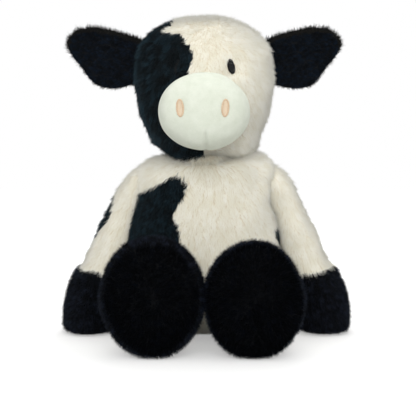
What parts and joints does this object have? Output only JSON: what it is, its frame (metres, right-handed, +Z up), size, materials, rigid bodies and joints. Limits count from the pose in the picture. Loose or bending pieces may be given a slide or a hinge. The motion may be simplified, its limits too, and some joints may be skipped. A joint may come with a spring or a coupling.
{
  "type": "plush cow",
  "caption": "Sitting plush cow in cream and black long-pile fur, with a padded muzzle, flapping ears, hanging arms with black hooves and big oval soles.",
  "frame": {"origin": "centre of the flat seat under the torso, on the surface that the cow sits on", "axes": "+Z up, -Y the way the cow faces, +X its own left side"},
  "size_m": [0.3103, 0.2103, 0.34],
  "materials": {
    "cream_fur": "long-pile plush, cream",
    "black_fur": "long-pile plush, black with a cool sheen",
    "muzzle_velour": "short-pile plush, pale mint white",
    "hoof_velour": "dense short-pile plush, black",
    "ear_velour": "short-pile plush, black",
    "nostril_thread": "satin-stitched thread, peach",
    "eye_thread": "satin-stitched thread, charcoal",
    "filling": "loose polyester fibre",
    "pouch_cloth": "woven cotton bag with plastic pellets"
  },
  "bodies": {
    "torso": {"torso_skin": "cream_fur", "chest_patch": "black_fur", "flank_patch": "black_fur", "torso_filling": "filling", "seat_bead_pouch": "pouch_cloth"},
    "neck": {"neck_filling": "filling"},
    "head": {"head_skin": "cream_fur", "head_patch": "black_fur", "head_filling": "filling", "muzzle_skin": "muzzle_velour", "muzzle_filling": "filling", "nostril_left": "nostril_thread", "nostril_right": "nostril_thread", "eye_left": "eye_thread", "eye_right": "eye_thread"},
    "ear_left": {"ear_left_back": "black_fur", "ear_left_lining": "ear_velour"},
    "ear_right": {"ear_right_back": "black_fur", "ear_right_lining": "ear_velour"},
    "arm_left": {"arm_left_sleeve": "cream_fur", "arm_left_hoof": "hoof_velour", "arm_left_filling": "filling"},
    "arm_right": {"arm_right_sleeve": "cream_fur", "arm_right_patch": "black_fur", "arm_right_hoof": "hoof_velour", "arm_right_filling": "filling"},
    "leg_left": {"leg_left_sleeve": "cream_fur", "foot_left_upper": "hoof_velour", "foot_left_sole": "hoof_velour", "leg_left_filling": "filling"},
    "leg_right": {"leg_right_sleeve": "cream_fur", "foot_right_upper": "hoof_velour", "foot_right_sole": "hoof_velour", "leg_right_filling": "filling"},
    "tail": {"tail_tube": "cream_fur", "tail_tuft": "black_fur"}
  },
  "joints": [
    {"name": "neck_turn", "type": "hinge", "parent": "torso", "child": "neck", "pos_m": [0, 0.002, 0.158], "axis": [0, 0, 1], "range_deg": [-25, 25], "stiffness_Nm_per_rad": 0.4},
    {"name": "neck_nod", "type": "hinge", "parent": "neck", "child": "head", "pos_m": [0, 0.002, 0.158], "axis": [1, 0, 0], "range_deg": [-10, 12], "stiffness_Nm_per_rad": 1.2},
    {"name": "ear_left_flap", "type": "hinge", "parent": "head", "child": "ear_left", "pos_m": [0.0722, 0.003, 0.289], "axis": [0.2079, 0, -0.9781], "range_deg": [-30, 45], "stiffness_Nm_per_rad": 0.05},
    {"name": "ear_right_flap", "type": "hinge", "parent": "head", "child": "ear_right", "pos_m": [-0.0722, 0.003, 0.289], "axis": [0.2079, 0, 0.9781], "range_deg": [-30, 45], "stiffness_Nm_per_rad": 0.05},
    {"name": "arm_left_swing", "type": "hinge", "parent": "torso", "child": "arm_left", "pos_m": [0.0825, 0, 0.152], "axis": [-1, 0, 0], "range_deg": [-35, 90]},
    {"name": "arm_right_swing", "type": "hinge", "parent": "torso", "child": "arm_right", "pos_m": [-0.077, 0, 0.152], "axis": [-1, 0, 0], "range_deg": [-35, 90]},
    {"name": "hip_left_lift", "type": "hinge", "parent": "torso", "child": "leg_left", "pos_m": [0.047, -0.062, 0.071], "axis": [-1, 0, 0], "range_deg": [0, 30]},
    {"name": "hip_right_lift", "type": "hinge", "parent": "torso", "child": "leg_right", "pos_m": [-0.047, -0.062, 0.071], "axis": [-1, 0, 0], "range_deg": [0, 30]},
    {"name": "tail_lift", "type": "hinge", "parent": "torso", "child": "tail", "pos_m": [0, 0.065, 0.078], "axis": [1, 0, 0], "range_deg": [0, 75]}
  ]
}
